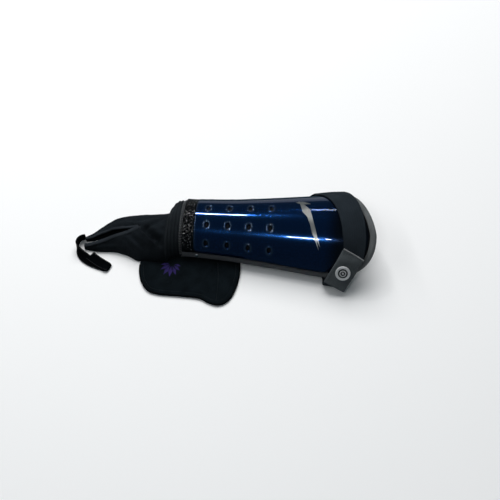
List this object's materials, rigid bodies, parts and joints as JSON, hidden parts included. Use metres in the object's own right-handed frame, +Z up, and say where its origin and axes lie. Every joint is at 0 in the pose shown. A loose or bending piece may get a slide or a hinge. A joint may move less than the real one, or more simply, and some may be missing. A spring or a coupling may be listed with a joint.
{
  "type": "soccer shin guard with ankle sleeve",
  "caption": "Arched hard-shell shin guard with vents, foam backing, bound rim, elastic calf strap, ribbed collar, ankle sleeve, stirrup and side pad, lying open side down.",
  "frame": {"origin": "middle of the underside of the part's box, on the surface that it lies on", "axes": "+X from the ankle to the knee, +Y towards the far side of the leg, +Z up, out of the crown of the shell"},
  "size_m": [0.3794, 0.1664, 0.0614],
  "materials": {
    "blue_shell": "glossy metallic blue plastic",
    "gloss_black": "glossy",
    "grey_foam": "matte closed foam",
    "grey_binding": "woven tape",
    "ribbed_knit": "ribbed knit",
    "black_knit": "stretch knit",
    "webbing": "flat woven webbing",
    "black_pad": "padded cloth",
    "elastic": "woven elastic",
    "tab_fabric": "brushed loop cloth",
    "silver_plastic": "satin silver",
    "steel": "polished"
  },
  "bodies": {
    "root": {"shell": "blue_shell", "ankle_flange": "gloss_black", "foam_backing": "grey_foam", "edge_binding": "grey_binding", "rivet_near": "steel", "rivet_far": "steel", "collar": "ribbed_knit", "ankle_sleeve": "black_knit", "stirrup": "webbing", "ankle_pad": "black_pad", "calf_strap": "elastic", "strap_tab": "tab_fabric", "badge": "silver_plastic"}
  },
  "joints": []
}
